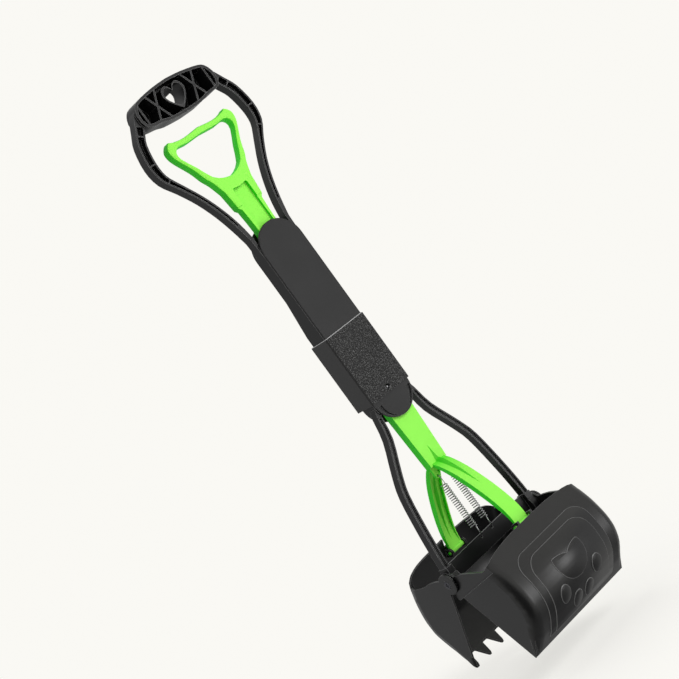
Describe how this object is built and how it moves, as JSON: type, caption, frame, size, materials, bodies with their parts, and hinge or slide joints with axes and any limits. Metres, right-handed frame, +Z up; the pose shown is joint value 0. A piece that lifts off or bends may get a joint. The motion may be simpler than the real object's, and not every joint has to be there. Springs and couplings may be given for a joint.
{
  "type": "pooper scooper",
  "caption": "Long handled yard scoop: a bow grip and pull trigger work two sprung jaws on a shaft that folds behind a lock sleeve.",
  "frame": {"origin": "middle of the hand grip's underside, on the shaft's centre line", "axes": "+Z up the shaft towards the grip, -Y towards the smooth front jaw, X along the jaw axle"},
  "size_m": [0.1602, 0.172, 0.6957],
  "materials": {
    "frame_plastic": "satin black moulded plastic",
    "sleeve_plastic": "black moulded plastic with a fine leather-like grain",
    "jaw_plastic": "satin charcoal moulded plastic",
    "green_plastic": "lime green moulded plastic, semi-gloss",
    "bright_steel": "drawn spring steel",
    "dark_steel": "blackened screw steel"
  },
  "bodies": {
    "shaft": {"upper_frame": "frame_plastic", "upper_front_cover": "frame_plastic", "fold_pin_left": "dark_steel", "fold_pin_right": "dark_steel", "upper_cover_screw_1": "dark_steel", "upper_cover_screw_2": "dark_steel", "upper_cover_screw_3": "dark_steel", "upper_cover_screw_4": "dark_steel"},
    "trigger": {"trigger": "green_plastic", "rod_hinge_pin": "dark_steel"},
    "sleeve": {"lock_sleeve": "sleeve_plastic"},
    "lower_shaft": {"lower_frame": "frame_plastic", "lower_front_cover": "frame_plastic", "detent_spring": "bright_steel", "return_spring_left": "bright_steel", "return_spring_right": "bright_steel", "pivot_screw_left": "dark_steel", "pivot_screw_right": "dark_steel", "pivot_washer_left": "frame_plastic", "pivot_washer_right": "frame_plastic", "lower_cover_screw_left": "dark_steel", "lower_cover_screw_right": "dark_steel"},
    "fork": {"fork_rod": "green_plastic"},
    "front_jaw": {"front_jaw": "jaw_plastic"},
    "rear_jaw": {"rear_jaw": "jaw_plastic"},
    "detent": {"detent_ball": "bright_steel"}
  },
  "joints": [
    {"name": "trigger_pull", "type": "slide", "parent": "shaft", "child": "trigger", "axis": [0, 0, 1], "range_m": [-0.0282, 0.004], "stiffness_N_per_m": 300},
    {"name": "sleeve_slide", "type": "slide", "parent": "shaft", "child": "sleeve", "axis": [0, 0, 1], "range_m": [0, 0.06]},
    {"name": "shaft_fold", "type": "hinge", "parent": "shaft", "child": "lower_shaft", "pos_m": [0, 0.0145, -0.3155], "axis": [1, 0, 0], "range_deg": [0, 160]},
    {"name": "fork_lift", "type": "slide", "parent": "lower_shaft", "child": "fork", "axis": [0, 0, 1], "range_m": [-0.0282, 0.004], "deforming": ["return_spring_left", "return_spring_right"]},
    {"name": "front_jaw_swing", "type": "hinge", "parent": "lower_shaft", "child": "front_jaw", "pos_m": [0, 0, -0.5505], "axis": [1, 0, 0], "range_deg": [-3.7, 26.01]},
    {"name": "rear_jaw_swing", "type": "hinge", "parent": "lower_shaft", "child": "rear_jaw", "pos_m": [0, 0, -0.5505], "axis": [1, 0, 0], "range_deg": [-26.01, 3.7]},
    {"name": "detent_press", "type": "slide", "parent": "lower_shaft", "child": "detent", "axis": [0, 1, 0], "range_m": [0, 0.001], "stiffness_N_per_m": 800}
  ],
  "couplings": [
    {"joint": "fork_lift", "follows": "trigger_pull", "ratio": 1},
    {"joint": "front_jaw_swing", "follows": "trigger_pull", "rad_per_m": -16.091},
    {"joint": "rear_jaw_swing", "follows": "trigger_pull", "rad_per_m": 16.091}
  ]
}
